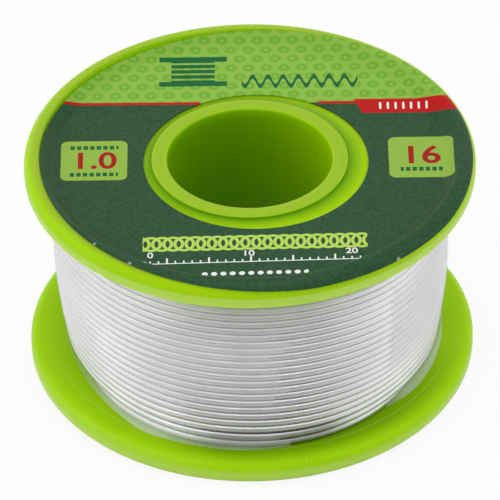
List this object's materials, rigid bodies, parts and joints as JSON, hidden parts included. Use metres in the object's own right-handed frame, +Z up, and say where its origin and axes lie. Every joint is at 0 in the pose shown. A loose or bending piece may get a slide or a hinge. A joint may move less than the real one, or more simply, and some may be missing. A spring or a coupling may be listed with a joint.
{
  "type": "solder wire spool",
  "caption": "Plastic spool of solder wire with two beaded flanges, a round label round its bore and clear film over the tight winding.",
  "frame": {"origin": "centre of the plane that the spool stands on", "axes": "+Z up along the bore, through the labelled flange; -Y towards the front, where the film's opening and the lower edge of the label are"},
  "size_m": [0.055, 0.055, 0.0305],
  "materials": {
    "spool_plastic": "moulded lime-green plastic, satin gloss, slightly translucent",
    "solder": "bright drawn tin-lead solder wire",
    "label_paper": "printed paper with a satin varnish",
    "film": "thin clear stretch film"
  },
  "bodies": {
    "root": {"spool": "spool_plastic", "wire_inner_layers": "solder", "wire_outer_layer": "solder", "top_label": "label_paper", "clear_film": "film"}
  },
  "joints": []
}
